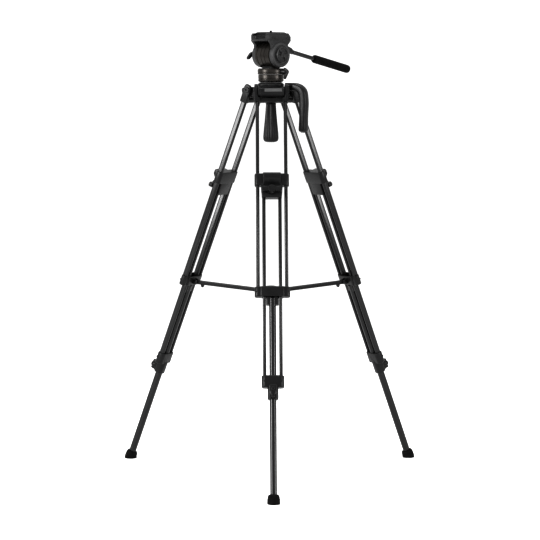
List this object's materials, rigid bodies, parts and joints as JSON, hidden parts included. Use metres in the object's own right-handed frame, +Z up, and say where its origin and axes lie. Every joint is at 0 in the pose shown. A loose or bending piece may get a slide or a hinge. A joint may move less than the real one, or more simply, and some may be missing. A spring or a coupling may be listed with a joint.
{
  "type": "film camera on tripod",
  "caption": "Video tripod: folding twin-tube legs of telescoping stages with a linked spreader, bowl crown with carry handle, fluid head, sliding plate and pan bar.",
  "frame": {"origin": "centre of the footprint, on the floor under the feet", "axes": "+Z up; +Y away from the front leg; +X across, to the side with the carry handle and pan bar"},
  "size_m": [0.7756, 0.6756, 1.1315],
  "materials": {
    "tube_black": "satin black anodised",
    "casting_black": "black painted casting",
    "plastic_black": "moulded, semi-matte",
    "rubber_black": "matte",
    "steel_bright": "dull bright",
    "head_grey": "dark grey satin paint"
  },
  "bodies": {
    "base": {"crown": "casting_black", "carry_handle": "plastic_black"},
    "leg_front_upper": {"leg_front_yoke": "casting_black", "leg_front_hinge_bolt": "steel_bright", "leg_front_spreader_block": "casting_black", "leg_front_outer_tube_a": "tube_black", "leg_front_outer_tube_b": "tube_black"},
    "leg_front_middle": {"leg_front_upper_clamp": "plastic_black", "leg_front_inner_tube_a": "tube_black", "leg_front_inner_tube_b": "tube_black", "leg_front_lower_clamp": "plastic_black"},
    "leg_front_lower": {"leg_front_lower_tube": "tube_black", "leg_front_foot": "rubber_black"},
    "leg_front_upper_knob": {"leg_front_upper_knob": "plastic_black"},
    "leg_front_lower_knob": {"leg_front_lower_knob": "plastic_black"},
    "spreader_arm_front": {"spreader_arm_front": "casting_black"},
    "leg_right_upper": {"leg_right_yoke": "casting_black", "leg_right_hinge_bolt": "steel_bright", "leg_right_spreader_block": "casting_black", "leg_right_outer_tube_a": "tube_black", "leg_right_outer_tube_b": "tube_black"},
    "leg_right_middle": {"leg_right_upper_clamp": "plastic_black", "leg_right_inner_tube_a": "tube_black", "leg_right_inner_tube_b": "tube_black", "leg_right_lower_clamp": "plastic_black"},
    "leg_right_lower": {"leg_right_lower_tube": "tube_black", "leg_right_foot": "rubber_black"},
    "leg_right_upper_knob": {"leg_right_upper_knob": "plastic_black"},
    "leg_right_lower_knob": {"leg_right_lower_knob": "plastic_black"},
    "spreader_arm_right": {"spreader_arm_right": "casting_black"},
    "leg_left_upper": {"leg_left_yoke": "casting_black", "leg_left_hinge_bolt": "steel_bright", "leg_left_spreader_block": "casting_black", "leg_left_outer_tube_a": "tube_black", "leg_left_outer_tube_b": "tube_black"},
    "leg_left_middle": {"leg_left_upper_clamp": "plastic_black", "leg_left_inner_tube_a": "tube_black", "leg_left_inner_tube_b": "tube_black", "leg_left_lower_clamp": "plastic_black"},
    "leg_left_lower": {"leg_left_lower_tube": "tube_black", "leg_left_foot": "rubber_black"},
    "leg_left_upper_knob": {"leg_left_upper_knob": "plastic_black"},
    "leg_left_lower_knob": {"leg_left_lower_knob": "plastic_black"},
    "spreader_arm_left": {"spreader_arm_left": "casting_black"},
    "spreader_hub": {"spreader_hub": "plastic_black"},
    "levelling_ball": {"half_ball": "casting_black", "head_base": "head_grey"},
    "levelling_grip": {"levelling_grip": "plastic_black"},
    "pan_body": {"pan_body": "head_grey"},
    "pan_lock_knob": {"pan_lock_knob": "plastic_black"},
    "tilt_frame": {"tilt_frame": "head_grey"},
    "tilt_lever": {"tilt_lever": "plastic_black"},
    "side_knob": {"side_knob": "plastic_black"},
    "plate_lever": {"plate_lever": "plastic_black"},
    "camera_plate": {"camera_plate": "casting_black", "plate_pad": "rubber_black"},
    "camera_screw": {"camera_screw": "steel_bright"},
    "pan_bar": {"pan_bar": "tube_black", "pan_grip": "rubber_black"},
    "pan_bar_knob": {"pan_bar_knob": "plastic_black"}
  },
  "joints": [
    {"name": "leg_front_fold", "type": "hinge", "parent": "base", "child": "leg_front_upper", "pos_m": [0, 0.06165, 0.982], "axis": [1, 0, 0], "range_deg": [0, 16.4]},
    {"name": "leg_front_middle_slide", "type": "slide", "parent": "leg_front_upper", "child": "leg_front_middle", "axis": [0, -0.3649, -0.9311], "range_m": [-0.176, 0.224]},
    {"name": "leg_front_lower_slide", "type": "slide", "parent": "leg_front_middle", "child": "leg_front_lower", "axis": [0, -0.3649, -0.9311], "range_m": [-0.222, 0.174]},
    {"name": "leg_front_upper_knob_turn", "type": "hinge", "parent": "leg_front_middle", "child": "leg_front_upper_knob", "pos_m": [0, -0.03687, 0.73062], "axis": [0, -0.9311, 0.3649], "range_deg": [-36, 36]},
    {"name": "leg_front_lower_knob_turn", "type": "hinge", "parent": "leg_front_middle", "child": "leg_front_lower_knob", "pos_m": [0, -0.22514, 0.25019], "axis": [0, -0.9311, 0.3649], "range_deg": [-90, 90]},
    {"name": "spreader_arm_front_swing", "type": "hinge", "parent": "leg_front_upper", "child": "spreader_arm_front", "pos_m": [0, -0.11311, 0.48124], "axis": [1, 0, 0], "range_deg": [-91.81, 0.05]},
    {"name": "leg_right_fold", "type": "hinge", "parent": "base", "child": "leg_right_upper", "pos_m": [0.03984, 0.13065, 0.982], "axis": [-0.5, 0.866, 0], "range_deg": [0, 16.4]},
    {"name": "leg_right_middle_slide", "type": "slide", "parent": "leg_right_upper", "child": "leg_right_middle", "axis": [0.316, 0.1824, -0.9311], "range_m": [-0.176, 0.224]},
    {"name": "leg_right_lower_slide", "type": "slide", "parent": "leg_right_middle", "child": "leg_right_lower", "axis": [0.316, 0.1824, -0.9311], "range_m": [-0.222, 0.174]},
    {"name": "leg_right_upper_knob_turn", "type": "hinge", "parent": "leg_right_middle", "child": "leg_right_upper_knob", "pos_m": [0.12515, 0.17991, 0.73062], "axis": [0.8063, 0.4655, 0.3649], "range_deg": [-36, 36]},
    {"name": "leg_right_lower_knob_turn", "type": "hinge", "parent": "leg_right_middle", "child": "leg_right_lower_knob", "pos_m": [0.28821, 0.27405, 0.25019], "axis": [0.8063, 0.4655, 0.3649], "range_deg": [-90, 90]},
    {"name": "spreader_arm_right_swing", "type": "hinge", "parent": "leg_right_upper", "child": "spreader_arm_right", "pos_m": [0.19119, 0.21803, 0.48124], "axis": [-0.5, 0.866, 0], "range_deg": [-91.81, 0.05]},
    {"name": "leg_left_fold", "type": "hinge", "parent": "base", "child": "leg_left_upper", "pos_m": [-0.03984, 0.13065, 0.982], "axis": [-0.5, -0.866, 0], "range_deg": [0, 16.4]},
    {"name": "leg_left_middle_slide", "type": "slide", "parent": "leg_left_upper", "child": "leg_left_middle", "axis": [-0.316, 0.1824, -0.9311], "range_m": [-0.176, 0.224]},
    {"name": "leg_left_lower_slide", "type": "slide", "parent": "leg_left_middle", "child": "leg_left_lower", "axis": [-0.316, 0.1824, -0.9311], "range_m": [-0.222, 0.174]},
    {"name": "leg_left_upper_knob_turn", "type": "hinge", "parent": "leg_left_middle", "child": "leg_left_upper_knob", "pos_m": [-0.12515, 0.17991, 0.73062], "axis": [-0.8063, 0.4655, 0.3649], "range_deg": [-36, 36]},
    {"name": "leg_left_lower_knob_turn", "type": "hinge", "parent": "leg_left_middle", "child": "leg_left_lower_knob", "pos_m": [-0.28821, 0.27405, 0.25019], "axis": [-0.8063, 0.4655, 0.3649], "range_deg": [-90, 90]},
    {"name": "spreader_arm_left_swing", "type": "hinge", "parent": "leg_left_upper", "child": "spreader_arm_left", "pos_m": [-0.19119, 0.21803, 0.48124], "axis": [-0.5, -0.866, 0], "range_deg": [-91.81, 0.05]},
    {"name": "spreader_hub_slide", "type": "slide", "parent": "base", "child": "spreader_hub", "axis": [0, 0, 1], "range_m": [-0.19864, 0.0005]},
    {"name": "levelling", "type": "hinge", "parent": "base", "child": "levelling_ball", "pos_m": [0, 0.10765, 1], "axis": [0.682, -0.7314, 0], "range_deg": [-7, 7]},
    {"name": "levelling_grip_turn", "type": "hinge", "parent": "levelling_ball", "child": "levelling_grip", "pos_m": [0, 0.10765, 0.9], "axis": [0, 0, 1], "continuous": true},
    {"name": "pan", "type": "hinge", "parent": "levelling_ball", "child": "pan_body", "pos_m": [0, 0.10765, 1.021], "axis": [0, 0, 1], "continuous": true},
    {"name": "pan_lock_turn", "type": "hinge", "parent": "pan_body", "child": "pan_lock_knob", "pos_m": [0.03277, 0.08471, 1.0275], "axis": [0.8192, -0.5736, 0], "range_deg": [-60, 60]},
    {"name": "tilt", "type": "hinge", "parent": "pan_body", "child": "tilt_frame", "pos_m": [0, 0.10765, 1.0697], "axis": [0.682, -0.7314, 0], "range_deg": [-30, 70]},
    {"name": "tilt_lever_turn", "type": "hinge", "parent": "tilt_frame", "child": "tilt_lever", "pos_m": [-0.03069, 0.14056, 1.0697], "axis": [0.682, -0.7314, 0], "range_deg": [-25, 45]},
    {"name": "side_knob_turn", "type": "hinge", "parent": "tilt_frame", "child": "side_knob", "pos_m": [0.02728, 0.0784, 1.0697], "axis": [0.682, -0.7314, 0], "continuous": true},
    {"name": "plate_lever_turn", "type": "hinge", "parent": "tilt_frame", "child": "plate_lever", "pos_m": [-0.03783, 0.09001, 1.1143], "axis": [0, 0, -1], "range_deg": [0, 40]},
    {"name": "plate_slide", "type": "slide", "parent": "tilt_frame", "child": "camera_plate", "axis": [0.7314, 0.682, 0], "range_m": [-0.02, 0.02]},
    {"name": "camera_screw_turn", "type": "hinge", "parent": "camera_plate", "child": "camera_screw", "pos_m": [0, 0.10765, 1.122], "axis": [0, 0, 1], "continuous": true},
    {"name": "pan_bar_swing", "type": "hinge", "parent": "tilt_frame", "child": "pan_bar", "pos_m": [0.04294, 0.12172, 1.081], "axis": [0.682, -0.7314, 0], "range_deg": [0, 70]},
    {"name": "pan_bar_knob_turn", "type": "hinge", "parent": "pan_bar", "child": "pan_bar_knob", "pos_m": [0.0334, 0.13195, 1.081], "axis": [0.682, -0.7314, 0], "continuous": true}
  ],
  "couplings": [
    {"joint": "spreader_arm_front_swing", "follows": "leg_front_fold", "ratio": -5.5953},
    {"joint": "leg_right_fold", "follows": "leg_front_fold", "ratio": 1},
    {"joint": "spreader_arm_right_swing", "follows": "leg_front_fold", "ratio": -5.5953},
    {"joint": "leg_left_fold", "follows": "leg_front_fold", "ratio": 1},
    {"joint": "spreader_arm_left_swing", "follows": "leg_front_fold", "ratio": -5.5953},
    {"joint": "spreader_hub_slide", "follows": "leg_front_fold", "m_per_rad": -0.69224}
  ]
}
